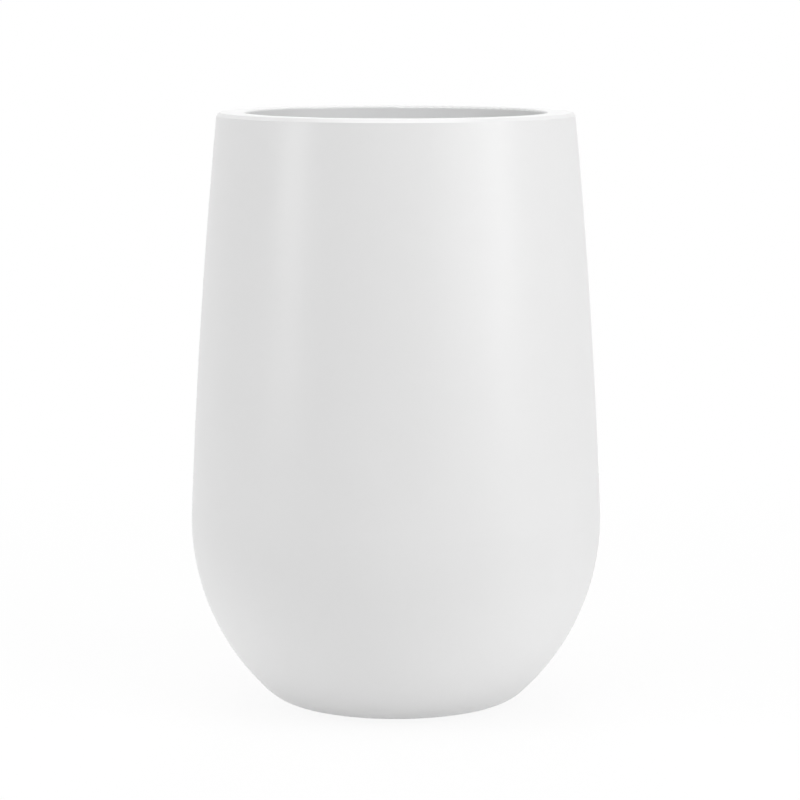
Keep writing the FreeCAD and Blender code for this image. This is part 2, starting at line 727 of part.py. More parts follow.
def build_fill_shaft(document):
    """Pipe from a flared mouth at the lip down to the liner's floor."""
    body = add_body(document, "fill_shaft", along="shaft_place")
    outline = Outline(body, "XZ_Plane")
    outline.loop(
        ("shaft_bore", "liner_floor"),
        ("shaft_radius", "liner_floor"),
        ("shaft_radius", "shaft_top - flare_height"),
        ("flare_radius", "shaft_top - flare_edge"),
        ("flare_radius", "shaft_top"),
        ("shaft_bore", "shaft_top"),
    )
    revolve(body, outline)
    cut_notch(body, "shaft_radius")
    return body


def build_fill_cap(document):
    """Lid of the fill shaft, with a skirt inside the shaft and a grip on top."""
    body = add_body(document, "fill_cap", along="shaft_place")
    outline = Outline(body, "XZ_Plane")
    outline.loop(
        ("0", "shaft_top"),
        ("skirt_radius - skirt_wall", "shaft_top"),
        ("skirt_radius - skirt_wall", "skirt_low"),
        ("skirt_radius", "skirt_low"),
        ("skirt_radius", "shaft_top"),
        ("cap_radius", "shaft_top"),
        ("cap_radius", "cap_top"),
        ("0", "cap_top"),
    )
    revolve(body, outline)
    grip = Outline(body, "XZ_Plane")
    grip.box("-grip_length / 2", "grip_length / 2", "cap_top", "cap_top + grip_height")
    push(body, "Pad", grip, "grip_thickness", evenly=True)
    lid = measure(body, "cap_top")
    round_edges(body, "grip_round", lambda edge: is_straight(edge, ALONG, lid))
    return body


def build_indicator_tube(document):
    """Tube that guides the float, open to the reservoir at its foot."""
    body = add_body(document, "indicator_tube", "tube_place", "shaft_place")
    outline = Outline(body, "XZ_Plane")
    outline.box("tube_bore", "tube_radius", "liner_floor", "tube_top")
    revolve(body, outline)
    cut_notch(body, "tube_radius")
    return body


def build_indicator_float(document):
    """Float with a socket for the rod."""
    body = add_body(document, "indicator_float", "tube_place", "shaft_place")
    outline = Outline(body, "XZ_Plane")
    outline.loop(
        ("0", "liner_floor"),
        ("float_radius", "liner_floor"),
        ("float_radius", "float_top"),
        ("rod_radius + rod_fit", "float_top"),
        ("rod_radius + rod_fit", "socket_floor"),
        ("0", "socket_floor"),
    )
    revolve(body, outline)
    return body


def build_indicator_rod(document):
    """Rod from the float's socket up to the marker in the window."""
    body = add_body(document, "indicator_rod", "tube_place", "shaft_place")
    outline = Outline(body, "XZ_Plane")
    outline.loop(
        ("0", "socket_floor"),
        ("rod_radius", "socket_floor"),
        ("rod_radius", "marker_base"),
        ("marker_radius", "marker_base"),
        ("marker_radius", "marker_top"),
        ("0", "marker_top"),
    )
    revolve(body, outline)
    return body


def build_indicator_window(document):
    """Clear cap with a sleeve round the tube's top and a shoulder that sits on it."""
    body = add_body(document, "indicator_window", "tube_place", "shaft_place")
    outline = Outline(body, "XZ_Plane")
    outline.loop(
        ("sleeve_bore", "tube_top - window_overlap"),
        ("window_radius", "tube_top - window_overlap"),
        ("window_radius", "cap_top"),
        ("0", "cap_top"),
        ("0", "cap_top - window_wall"),
        ("window_bore", "cap_top - window_wall"),
        ("window_bore", "tube_top"),
        ("sleeve_bore", "tube_top"),
    )
    revolve(body, outline)
    return body


def check(document, bodies):
    """Stops if anything in the document failed or a piece is empty or broken."""
    for item in document.Objects:
        if {"Invalid", "Error"} & set(item.State):
            raise RuntimeError(f"{item.Label} failed: {item.State}")
    for body in bodies:
        if body.Shape.isNull() or not body.Shape.isValid():
            raise RuntimeError(f"{body.Label} has no sound shape")


def main():
    document = FreeCAD.newDocument("planter")
    add_sheet(document)
    pads = enumerate(ring_spots(document, "pad_count", "pad_circle"), start=1)
    cups = enumerate(cup_spots(document), start=1)
    bodies = [
        build_outer_shell(document),
        build_mouth_collar(document),
        build_seat_ring(document),
        *[build_floor_pad(document, number, spot) for number, spot in pads],
        build_drain_plug(document),
        build_lip_ring(document),
        build_liner(document),
        build_reservoir_tray(document),
        build_bail(document, "front_bail", -1),
        build_bail(document, "rear_bail", 1),
        build_separator_plate(document),
        *[build_wick_cup(document, number, spot) for number, spot in cups],
        build_fill_shaft(document),
        build_fill_cap(document),
        build_indicator_tube(document),
        build_indicator_float(document),
        build_indicator_rod(document),
        build_indicator_window(document),
    ]
    document.recompute()
    check(document, bodies)
    os.makedirs("parts", exist_ok=True)
    for body in bodies:
        body.Shape.exportStep(f"parts/{body.Label}.step")
        print(f"{body.Label}: {len(body.Shape.Solids)} solids, {body.Shape.Volume:.0f} cubic mm")


main()
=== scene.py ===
"""White floor planter, dressed for a studio portrait.

The planter is a bulged white shell with a flat rim. A white liner hangs on a seat ring in its mouth, with
two drop handles (bails), a water reservoir under a separator plate, a fill shaft and a water level gauge.
Lengths are in metres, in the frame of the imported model: +Z up, the floor at zero, and the camera looks
along +Y.
"""

import logging
import math
from collections.abc import Mapping, Sequence
from dataclasses import dataclass
from enum import Enum
from functools import cache

import bmesh
import bpy
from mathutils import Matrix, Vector


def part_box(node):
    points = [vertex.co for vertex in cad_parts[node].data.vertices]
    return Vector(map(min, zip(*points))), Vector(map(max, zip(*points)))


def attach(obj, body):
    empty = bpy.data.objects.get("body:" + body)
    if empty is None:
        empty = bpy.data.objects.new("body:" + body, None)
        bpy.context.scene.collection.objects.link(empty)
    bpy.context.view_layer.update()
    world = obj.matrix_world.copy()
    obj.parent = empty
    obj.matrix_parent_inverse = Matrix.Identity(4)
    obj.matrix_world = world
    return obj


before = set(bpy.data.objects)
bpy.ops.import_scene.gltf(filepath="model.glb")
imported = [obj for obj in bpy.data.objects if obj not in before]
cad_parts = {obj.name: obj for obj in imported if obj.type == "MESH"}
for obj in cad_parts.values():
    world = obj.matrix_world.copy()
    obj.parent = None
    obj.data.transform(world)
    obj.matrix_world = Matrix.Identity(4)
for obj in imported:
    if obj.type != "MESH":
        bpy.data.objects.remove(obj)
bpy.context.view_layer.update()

LOG = logging.getLogger("planter")
MM = 0.001
UPWARDS = Vector((0, 0, 1))
QUARTER_TURN = math.pi / 2
FULL_TURN = 2 * math.pi
WHITE = (1, 1, 1, 1)
# Soft noise stays between these values almost everywhere.
NOISE_LOW, NOISE_HIGH = 0.3, 0.7

Colour = tuple[float, float, float]
Point = tuple[float, float, float]
Ring = Sequence[Vector]
Socket = bpy.types.NodeSocket


class Body(str, Enum):
    """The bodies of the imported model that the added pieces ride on."""

    LINER = "liner"
    FRONT_BAIL = "front_bail"
    REAR_BAIL = "rear_bail"
    FILL_CAP = "fill_cap"


class SeenBy(str, Enum):
    """Kinds of ray that see the bright studio instead of the light it gives."""

    CAMERA = "Is Camera Ray"
    GLOSS = "Is Glossy Ray"
    GLASS = "Is Transmission Ray"


class Graph:
    """The node tree of a material or of the world, with short calls for the nodes that it needs."""

    def __init__(self, tree: bpy.types.NodeTree, output: str) -> None:
        """Empties the tree and adds its output.

        Args:
            tree: The node tree to fill.
            output: Type of the output node.
        """
        self.tree = tree
        self.tree.nodes.clear()
        self.output = self.add(output)

    def add(self, kind: str, inputs: Mapping[str | int, object] | None = None) -> bpy.types.Node:
        """Adds a node.

        Args:
            kind: The node's type.
            inputs: For each input, by name or number, a value or the socket that feeds it.

        Returns:
            The new node.
        """
        node = self.tree.nodes.new(kind)
        for key, value in (inputs or {}).items():
            if isinstance(value, Socket):
                self.tree.links.new(value, node.inputs[key])
            else:
                node.inputs[key].default_value = value
        return node

    def place(self, stretch: Sequence[float] = (1, 1, 1)) -> Socket:
        """Gives texture places, in metres in the object's own frame.

        Args:
            stretch: Factors along X, Y and Z. A small factor draws the texture out.

        Returns:
            The socket with the places.
        """
        source = self.add("ShaderNodeTexCoord").outputs["Object"]
        return self.add("ShaderNodeMapping", {"Vector": source, "Scale": stretch}).outputs["Vector"]

    def noise(self, size: float, detail: float = 2.0, stretch: Sequence[float] = (1, 1, 1)) -> Socket:
        """Gives soft noise.

        Args:
            size: About how large a blotch is.
            detail: Octaves of finer noise inside the blotches.
            stretch: Factors along X, Y and Z.

        Returns:
            The socket with the noise, mostly between NOISE_LOW and NOISE_HIGH.
        """
        inputs = {"Vector": self.place(stretch), "Scale": 1 / size, "Detail": detail}
        return self.add("ShaderNodeTexNoise", inputs).outputs["Fac"]

    def cells(self, size: float) -> Socket:
        """Gives the distance to the middle of the nearest of many cells, each about that size."""
        inputs = {"Vector": self.place(), "Scale": 1 / size}
        return self.add("ShaderNodeTexVoronoi", inputs).outputs["Distance"]

    def spread(self, value: Socket, given: tuple[float, float], wanted: tuple[float, float]) -> Socket:
        """Spreads a value over another range, and holds it there.

        Args:
            value: The value.
            given: The range that it comes in.
            wanted: The range that it leaves in.

        Returns:
            The socket with the result.
        """
        inputs = {
            "Value": value,
            "From Min": given[0],
            "From Max": given[1],
            "To Min": wanted[0],
            "To Max": wanted[1],
        }
        return self.add("ShaderNodeMapRange", inputs).outputs["Result"]

    def tint(self, value: Socket, low: Colour, high: Colour) -> Socket:
        """Colours noise.

        Args:
            value: The noise.
            low: Colour of the lowest noise.
            high: Colour of the highest noise.

        Returns:
            The socket with the colour.
        """
        ramp = self.add("ShaderNodeValToRGB", {"Fac": value})
        for stop, position, colour in zip(ramp.color_ramp.elements, (NOISE_LOW, NOISE_HIGH), (low, high)):
            stop.position = position
            stop.color = (*colour, 1)
        return ramp.outputs["Color"]

    def bump(self, height: Socket, depth: float, over: Socket | None = None) -> Socket:
        """Presses a relief into the surface.

        Args:
            height: The relief, from 0 to 1.
            depth: How deep it is, in metres.
            over: A coarser relief that it lies on, if any.

        Returns:
            The socket with the bent normals.
        """
        inputs: dict[str | int, object] = {"Height": height, "Distance": depth}
        if over is not None:
            inputs["Normal"] = over
        return self.add("ShaderNodeBump", inputs).outputs["Normal"]

    def shader(self, kind: str, inputs: Mapping[str | int, object] | None = None) -> Socket:
        """Adds a shader, as add does, and gives its socket."""
        return self.add(kind, inputs).outputs[0]

    def mixed(self, share: Socket, first: Socket, second: Socket) -> Socket:
        """Mixes two shaders, with that share of the second."""
        return self.shader("ShaderNodeMixShader", {0: share, 1: first, 2: second})

    def finish(self, surface: Socket) -> None:
        """Makes a shader the tree's result."""
        self.tree.links.new(surface, self.output.inputs["Surface"])


def darker(colour: Colour, share: float) -> Colour:
    """Gives the colour with a share of its light taken away."""
    return tuple(channel * (1 - share) for channel in colour)


@dataclass(frozen=True)
class Finish:
    """What every finish has.

    Attributes:
        slot: The record's material slot, which also names the material.
        colour: Colour of the surface, in linear light.
        roughness: How far reflections blur.
        gloss_spread: How much the roughness drifts over the surface, up and down.
    """

    slot: str
    colour: Colour
    roughness: float
    gloss_spread: float

    def shade(self, graph: Graph) -> None:
        """Fills the node tree of the finish."""
        raise NotImplementedError

    def drifting(self, graph: Graph, noise: Socket) -> Socket:
        """Gives a roughness that drifts with noise.

        Args:
            graph: The node tree of the finish.
            noise: The noise.

        Returns:
            The socket with the roughness.
        """
        low, high = self.roughness - self.gloss_spread, self.roughness + self.gloss_spread
        return graph.spread(noise, (NOISE_LOW, NOISE_HIGH), (low, high))

    @cache
    def material(self) -> bpy.types.Material:
        """Makes the finish into a material, once.

        Returns:
            The material, the same one each time.
        """
        made = bpy.data.materials.new(self.slot)
        made.use_nodes = True
        self.shade(Graph(made.node_tree, "ShaderNodeOutputMaterial"))
        return made


@dataclass(frozen=True)
class Moulded(Finish):
    """Moulded plastic or rubber: faint mottling and drifting gloss, with a fine grain over a slow ripple.

    Attributes:
        mottle: Share of light that the darkest blotches lose.
        blotch: Size of the blotches.
        grain: Size of the grain from the mould.
        grain_depth: Depth of the grain.
        ripple: Size of the slow ripple that cooling leaves.
        ripple_depth: Depth of the ripple.
        stretch: Factors that draw blotches and grain out, for extruded pieces.
        gloss_patch: Size of the patches of like gloss, in blotches.
    """

    mottle: float
    blotch: float
    grain: float
    grain_depth: float
    ripple: float
    ripple_depth: float
    stretch: tuple[float, float, float] = (1.0, 1.0, 1.0)
    gloss_patch: float = 3.0

    def shade(self, graph: Graph) -> None:
        """Fills the node tree of the finish.

        Args:
            graph: The node tree.
        """
        blotches = graph.noise(self.blotch, stretch=self.stretch)
        grain = graph.noise(self.grain, stretch=self.stretch)
        ripple = graph.bump(graph.noise(self.ripple), self.ripple_depth)
        gloss = graph.noise(self.gloss_patch * self.blotch, stretch=self.stretch)
        graph.finish(graph.shader("ShaderNodeBsdfPrincipled", {
            "Base Color": graph.tint(blotches, darker(self.colour, self.mottle), self.colour),
            "Roughness": self.drifting(graph, gloss),
            "Normal": graph.bump(grain, self.grain_depth, over=ripple),
        }))


@dataclass(frozen=True)
class Foam(Finish):
    """Closed-cell foam: beads pressed together, with darker seams between them.

    Attributes:
        bead: Size of a bead.
        bead_depth: Depth of the seams.
        seam_shade: Share of light lost in the seams.
    """

    bead: float
    bead_depth: float
    seam_shade: float

    def shade(self, graph: Graph) -> None:
        """Fills the node tree of the finish.

        Args:
            graph: The node tree.
        """
        beads = graph.cells(self.bead)
        graph.finish(graph.shader("ShaderNodeBsdfPrincipled", {
            "Base Color": graph.tint(beads, self.colour, darker(self.colour, self.seam_shade)),
            "Roughness": self.drifting(graph, graph.noise(self.bead)),
            "Normal": graph.bump(beads, -self.bead_depth),
        }))


@dataclass(frozen=True)
class Clear(Finish):
    """Clear plastic, with a little haze from handling.

    Attributes:
        refraction: Index of refraction.
        haze: Size of the hazy patches.
        haze_detail: Octaves of finer haze inside the patches.
    """

    refraction: float
    haze: float
    haze_detail: float = 4.0

    def shade(self, graph: Graph) -> None:
        """Fills the node tree of the finish.

        Args:
            graph: The node tree.
        """
        graph.finish(graph.shader("ShaderNodeBsdfPrincipled", {
            "Base Color": (*self.colour, 1),
            "Roughness": self.drifting(graph, graph.noise(self.haze, self.haze_detail)),
            "IOR": self.refraction,
            "Transmission Weight": 1.0,
        }))


SHELL_WHITE = Moulded(
    slot="shell_plastic", colour=(0.86, 0.86, 0.86), roughness=0.33, gloss_spread=0.015, mottle=0.008,
    blotch=70 * MM, grain=1.1 * MM, grain_depth=0.003 * MM, ripple=40 * MM, ripple_depth=0.01 * MM,
)
PAD_RUBBER = Moulded(
    slot="pad_rubber", colour=(0.16, 0.16, 0.165), roughness=0.75, gloss_spread=0.1, mottle=0.25,
    blotch=3 * MM, grain=0.35 * MM, grain_depth=0.04 * MM, ripple=4 * MM, ripple_depth=0.05 * MM,
)
PLUG_RUBBER = Moulded(
    slot="plug_rubber", colour=(0.045, 0.045, 0.048), roughness=0.65, gloss_spread=0.12, mottle=0.3,
    blotch=4 * MM, grain=0.4 * MM, grain_depth=0.03 * MM, ripple=6 * MM, ripple_depth=0.05 * MM,
)
LINER_WHITE = Moulded(
    slot="liner_plastic", colour=(0.8, 0.8, 0.79), roughness=0.42, gloss_spread=0.05, mottle=0.03,
    blotch=14 * MM, grain=1.2 * MM, grain_depth=0.006 * MM, ripple=16 * MM, ripple_depth=0.04 * MM,
)
BAIL_GREY = Moulded(
    slot="bail_plastic", colour=(0.66, 0.665, 0.67), roughness=0.4, gloss_spread=0.05, mottle=0.05,
    blotch=8 * MM, grain=0.9 * MM, grain_depth=0.004 * MM, ripple=9 * MM, ripple_depth=0.02 * MM,
)
PLATE_GREY = Moulded(
    slot="plate_plastic", colour=(0.56, 0.565, 0.57), roughness=0.48, gloss_spread=0.07, mottle=0.08,
    blotch=9 * MM, grain=0.9 * MM, grain_depth=0.01 * MM, ripple=14 * MM, ripple_depth=0.05 * MM,
)
TUBE_GREY = Moulded(
    slot="tube_plastic", colour=(0.6, 0.605, 0.61), roughness=0.38, gloss_spread=0.05, mottle=0.1,
    blotch=5 * MM, grain=0.8 * MM, grain_depth=0.008 * MM, ripple=12 * MM, ripple_depth=0.03 * MM,
    stretch=(1.0, 1.0, 0.04),
)
CAP_BLUE = Moulded(
    slot="cap_plastic", colour=(0.09, 0.21, 0.36), roughness=0.36, gloss_spread=0.05, mottle=0.06,
    blotch=5 * MM, grain=0.8 * MM, grain_depth=0.006 * MM, ripple=8 * MM, ripple_depth=0.03 * MM,
)
FLOAT_FOAM = Foam(
    slot="float_foam", colour=(0.8, 0.78, 0.72), roughness=0.7, gloss_spread=0.08,
    bead=2.2 * MM, bead_depth=0.25 * MM, seam_shade=0.3,
)
MARKER_RED = Moulded(
    slot="marker_plastic", colour=(0.7, 0.06, 0.035), roughness=0.21, gloss_spread=0.04, mottle=0.06,
    blotch=3 * MM, grain=0.4 * MM, grain_depth=0.008 * MM, ripple=5 * MM, ripple_depth=0.02 * MM,
)
WINDOW_CLEAR = Clear(
    slot="window_plastic", colour=(0.93, 0.97, 0.97), roughness=0.06, gloss_spread=0.04,
    refraction=1.49, haze=6 * MM,
)


def even_steps(start: float, stop: float, steps: int) -> list[float]:
    """Gives evenly spaced values from start to stop, both ends included."""
    return [start + (stop - start) * i / steps for i in range(steps + 1)]


def angles_round(count: int, first: float = 0.0) -> list[float]:
    """Gives evenly spaced angles all the way round, the first one at that share of their spacing."""
    return [FULL_TURN * (i + first) / count for i in range(count)]


def spoke(angle: float) -> Vector:
    """Gives the level direction at an angle round the axis."""
    return Vector((math.cos(angle), math.sin(angle), 0))


def rounded_box(
    half_width: float, half_height: float, radius: float, steps: int = 4
) -> list[tuple[float, float]]:
    """Gives the outline of a box with round corners.

    Args:
        half_width: Half its width.
        half_height: Half its height.
        radius: Radius of its corners.
        steps: Steps round each corner.

    Returns:
        The outline's points, anticlockwise.
    """
    outline = []
    for corner, (right, up) in enumerate(((1, 1), (-1, 1), (-1, -1), (1, -1))):
        middle = (right * (half_width - radius), up * (half_height - radius))
        for angle in even_steps(corner * QUARTER_TURN, (corner + 1) * QUARTER_TURN, steps):
            outline.append((middle[0] + radius * math.cos(angle), middle[1] + radius * math.sin(angle)))
    return outline


class Skin:
    """A mesh made of lofts through rings of points."""

    SHARP_ANGLE = math.radians(40)

    def __init__(self) -> None:
        """Starts an empty mesh."""
        self.mesh = bmesh.new()

    def loft(self, rings: Sequence[Ring], closed: bool = False) -> None:
        """Adds a loft.

        Args:
            rings: The rings, each with the same number of points.
            closed: True if the last ring runs on into the first. Otherwise both ends get a cap.
        """
        rows = [[self.mesh.verts.new(point) for point in ring] for ring in rings]
        spans = zip(rows, rows[1:] + rows[:1]) if closed else zip(rows, rows[1:])
        for low, high in spans:
            for i, corner in enumerate(low):
                self.mesh.faces.new((low[i - 1], corner, high[i], high[i - 1]))
        if not closed:
            self.mesh.faces.new(rows[0])
            self.mesh.faces.new(rows[-1])

    def piece(self, name: str, body: Body, finish: Finish) -> None:
        """Turns the mesh into a piece of the planter.

        Args:
            name: The piece's name.
            body: The body that it rides on.
            finish: What it is made of.
        """
        bmesh.ops.recalc_face_normals(self.mesh, faces=self.mesh.faces)
        data = bpy.data.meshes.new(name)
        self.mesh.to_mesh(data)
        self.mesh.free()
        for face in data.polygons:
            face.use_smooth = True
        data.set_sharp_from_angle(angle=self.SHARP_ANGLE)
        data.materials.append(finish.material())
        made = bpy.data.objects.new(name, data)
        bpy.context.scene.collection.objects.link(made)
        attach(made, body.value)
        LOG.info("%s: made, rides on %s, finish %s", name, body.value, finish.slot)


def dress(node: str, finish: Finish) -> None:
    """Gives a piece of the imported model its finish.

    Args:
        node: The piece's name.
        finish: What it is made of.
    """
    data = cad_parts[node].data
    data.materials.clear()
    data.materials.append(finish.material())
    LOG.info("%s: dressed in %s", node, finish.slot)


def numbered(stem: str) -> list[str]:
    """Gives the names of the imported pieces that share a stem, such as the floor pads."""
    return sorted(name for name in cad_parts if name.startswith(stem))


@dataclass
class Vessel:
    """The white shell with its collar, seat ring, floor pads and drain plug.

    Attributes:
        mouldings: The white pieces.
    """

    mouldings: tuple[str, ...] = ("outer_shell", "mouth_collar", "seat_ring")

    def build(self) -> None:
        """Dresses the pieces of the vessel."""
        for node in self.mouldings:
            dress(node, SHELL_WHITE)
        for node in numbered("floor_pad"):
            dress(node, PAD_RUBBER)
        dress("drain_plug", PLUG_RUBBER)


@dataclass
class Liner:
    """The lift-out pot: lip ring, wall and reservoir tray, with moulded ribs down the outside of its wall.

    Attributes:
        mouldings: The white pieces.
        wall_low: Outside radius of the wall at its foot.
        wall_high: Outside radius of the wall under the lip.
        foot: Height of the wall's foot, on the tray.
        lip: Height of the lip's underside.
        rib_count: Ribs round the wall.
        rib_first: Where the first rib stands, as a share of the ribs' spacing.
        rib_width: Width of a rib at the wall.
        rib_proud: How far a rib stands out of the wall.
        rib_sunk: How far a rib reaches into the wall.
        rib_gap: Length of bare wall above and below a rib.
        rib_fade: Power of the sine that a rib swells with. A small one keeps it full almost to its ends.
        rib_least: Half depth that a rib's section keeps at its ends, inside the wall.
        rib_corner: Rounding of a rib's section, as a share of its half depth.
    """

    mouldings: tuple[str, ...] = ("lip_ring", "liner", "reservoir_tray")
    wall_low: float = 115.59 * MM
    wall_high: float = 135.22 * MM
    foot: float = 343 * MM
    lip: float = 555 * MM
    rib_count: int = 12
    rib_first: float = 0.5
    rib_width: float = 5 * MM
    rib_proud: float = 1.4 * MM
    rib_sunk: float = 0.5 * MM
    rib_gap: float = 18 * MM
    rib_fade: float = 0.35
    rib_least: float = 0.05 * MM
    rib_corner: float = 0.9

    def build(self) -> None:
        """Dresses lip ring, wall and tray, and adds the wall's ribs."""
        for node in self.mouldings:
            dress(node, LINER_WHITE)
        ribs = Skin()
        for angle in angles_round(self.rib_count, self.rib_first):
            ribs.loft(self.rib(angle))
        ribs.piece("liner_ribs", Body.LINER, LINER_WHITE)

    def rib(self, angle: float, steps: int = 24) -> list[Ring]:
        """Gives the rings of one rib.

        Args:
            angle: Where the rib is, round the axis.
            steps: Steps along the rib.

        Returns:
            Rings from the rib's foot to its top. It fades into the wall at both ends.
        """
        outward = spoke(angle)
        sideways = outward.cross(UPWARDS)
        tall = self.lip - self.foot
        rings = []
        for share in even_steps(0, 1, steps):
            height = self.foot + self.rib_gap + (tall - 2 * self.rib_gap) * share
            wall = self.wall_low + (self.wall_high - self.wall_low) * (height - self.foot) / tall
            swell = math.sin(math.pi * share) ** self.rib_fade
            proud = self.rib_proud * swell - self.rib_sunk * (1 - swell)
            depth = (proud + self.rib_sunk) / 2 + self.rib_least
            middle = outward * (wall + proud - depth) + UPWARDS * height
            section = rounded_box(self.rib_width / 2, depth, self.rib_corner * depth)
            rings.append([middle + sideways * across + outward * out for across, out in section])
        return rings


@dataclass
class Bails:
    """The two drop handles, each with a ribbed grip moulded round its middle.

    Attributes:
        radius: Middle radius of the half ring.
        height: Height of its middle.
        half_width: Half its width.
        half_height: Half its height.
        rounding: Rounding of its edges.
        grip_turn: How far the grip runs round the ring.
        grip_proud: How far the grip stands out of the ring.
        ridges: Ridges along the grip.
        groove: Height of the grip between its ridges, as a share of grip_proud.
        grip_sunk: How far the grip's ends reach into the ring, as a share of grip_proud.
        grip_ends: Share of the grip over which each end sinks into the ring.
    """

    radius: float = 141.5 * MM
    height: float = 564.3 * MM
    half_width: float = 3.5 * MM
    half_height: float = 5 * MM
    rounding: float = 2.4 * MM
    grip_turn: float = math.radians(44)
    grip_proud: float = 0.75 * MM
    ridges: int = 16
    groove: float = 0.4
    grip_sunk: float = 0.2
    grip_ends: float = 1 / 30

    def build(self) -> None:
        """Dresses both handles and adds their grips."""
        for body, facing in ((Body.FRONT_BAIL, -QUARTER_TURN), (Body.REAR_BAIL, QUARTER_TURN)):
            dress(body.value, BAIL_GREY)
            grip = Skin()
            grip.loft(self.grip(facing))
            grip.piece(body.value + "_grip", body, BAIL_GREY)

    def grip(self, facing: float, steps_per_ridge: int = 8) -> list[Ring]:
        """Gives the rings of one grip.

        Args:
            facing: Direction of the handle's middle, round the axis.
            steps_per_ridge: Rings for each ridge.

        Returns:
            Rings round the handle, from one end of the grip to the other.
        """
        rings = []
        for share in even_steps(0, 1, self.ridges * steps_per_ridge):
            outward = spoke(facing + (share - 0.5) * self.grip_turn)
            ridge = (1 - math.cos(FULL_TURN * self.ridges * share)) / 2
            fade = min(1, share / self.grip_ends, (1 - share) / self.grip_ends)
            raised = self.groove + (1 - self.groove) * ridge
            proud = self.grip_proud * (fade * raised - self.grip_sunk * (1 - fade))
            section = rounded_box(self.half_width + proud, self.half_height + proud, self.rounding + proud)
            rings.append([
                outward * (self.radius + out) + UPWARDS * (self.height + up) for out, up in section
            ])
        return rings


@dataclass
class Reservoir:
    """The separator plate on its wick cups, and the fill shaft with its cap.

    Attributes:
        drop_length: Length of the raised water drop on each half of the cap.
        drop_radius: Radius of the drop's round end.
        drop_proud: How far the drop stands out of the cap.
        drop_place: From the cap's axis to the middle of the drop's round end.
        drop_point: Power of the cosine that draws the drop out. A large one makes its point slim.
        drop_layers: For each ring of the drop, its share of the outline and of the height.
        cap_top: Height of the cap's flat top.
    """

    drop_length: float = 6 * MM
    drop_radius: float = 2.6 * MM
    drop_proud: float = 0.5 * MM
    drop_place: float = 11 * MM
    drop_point: int = 6
    drop_layers: tuple[tuple[float, float], ...] = ((1.0, -0.2), (1.0, 0.6), (0.93, 0.9), (0.84, 1.0))
    cap_top: float = 557 * MM

    def build(self) -> None:
        """Dresses the pieces, and adds the raised drops on the cap."""
        for node in ("separator_plate", *numbered("wick_cup")):
            dress(node, PLATE_GREY)
        dress("fill_shaft", TUBE_GREY)
        dress("fill_cap", CAP_BLUE)
        low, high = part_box("fill_cap")
        axis = (low + high) / 2
        drops = Skin()
        for side in (-1, 1):
            drops.loft(self.drop(Vector((axis.x, axis.y + side * self.drop_place, self.cap_top))))
        drops.piece("cap_drops", Body.FILL_CAP, CAP_BLUE)

    def drop(self, middle: Vector, steps: int = 32) -> list[Ring]:
        """Gives the rings of one raised drop.

        Args:
            middle: Middle of the drop's round end, on the cap's top.
            steps: Points round the drop.

        Returns:
            Rings from just under the cap's top to the drop's own top.
        """
        rings = []
        for share, rise in self.drop_layers:
            ring = []
            for angle in angles_round(steps):
                drawn_out = max(0, math.cos(angle)) ** self.drop_point
                reach = self.drop_radius + (self.drop_length - self.drop_radius) * drawn_out
                ring.append(middle + spoke(angle) * (reach * share) + UPWARDS * (self.drop_proud * rise))
            rings.append(ring)
        return rings


@dataclass
class LevelGauge:
    """The float in its tube, and the marker that it lifts behind the clear window.

    Attributes:
        window_radius: Outside radius of the window.
        mark_height: Height of a printed ring.
        mark_proud: Thickness of the print.
        mark_corner: Rounding of the print's edges, as a share of its thickness.
        marker_length: Length of the marker at the rod's top.
        travel: How far the marker rises from empty to full.
        levels: Shares of the travel that get a ring: empty, half and full.
    """

    window_radius: float = 9.55 * MM
    mark_height: float = 0.9 * MM
    mark_proud: float = 0.08 * MM
    mark_corner: float = 0.6
    marker_length: float = 10 * MM
    travel: float = 35 * MM
    levels: tuple[float, ...] = (0.0, 0.5, 1.0)

    def build(self) -> None:
        """Dresses the gauge, and prints its rings for empty, half and full."""
        for node, finish in (
            ("indicator_tube", TUBE_GREY),
            ("indicator_float", FLOAT_FOAM),
            ("indicator_rod", MARKER_RED),
            ("indicator_window", WINDOW_CLEAR),
        ):
            dress(node, finish)
        low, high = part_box("indicator_rod")
        axis = (low + high) / 2
        marker_middle = high.z - self.marker_length / 2
        marks = Skin()
        for level in self.levels:
            marks.loft(self.mark(Vector((axis.x, axis.y, marker_middle + level * self.travel))), closed=True)
        marks.piece("gauge_marks", Body.LINER, CAP_BLUE)

    def mark(self, middle: Vector, steps: int = 64) -> list[Ring]:
        """Gives the rings of one printed band round the window.

        Args:
            middle: Middle of the band, on the window's axis.
            steps: Steps round the window.

        Returns:
            Cross-sections of the band, all the way round.
        """
        rounding = self.mark_corner * self.mark_proud
        section = rounded_box(self.mark_proud, self.mark_height / 2, rounding, steps=2)
        rings = []
        for angle in angles_round(steps):
            outward = spoke(angle)
            rings.append([
                middle + outward * (self.window_radius + out) + UPWARDS * up for out, up in section
            ])
        return rings


@dataclass
class PhotoCamera:
    """The camera, placed as in the photograph.

    Attributes:
        place: Where it stands.
        pitch_down: How far it looks down.
        lens: Focal length, in millimetres on the sensor.
        sensor: Width of the sensor, in millimetres.
    """

    place: Point = (0.0041, -3.4, 0.7378)
    pitch_down: float = math.radians(7.192)
    lens: float = 152.145
    sensor: float = 36.0

    def build(self) -> None:
        """Adds the camera and makes it the scene's own."""
        data = bpy.data.cameras.new("photo_camera")
        data.lens = self.lens
        data.sensor_width = self.sensor
        camera = bpy.data.objects.new("photo_camera", data)
        camera.location = self.place
        camera.rotation_euler = (QUARTER_TURN - self.pitch_down, 0, 0)
        bpy.context.scene.collection.objects.link(camera)
        bpy.context.scene.camera = camera


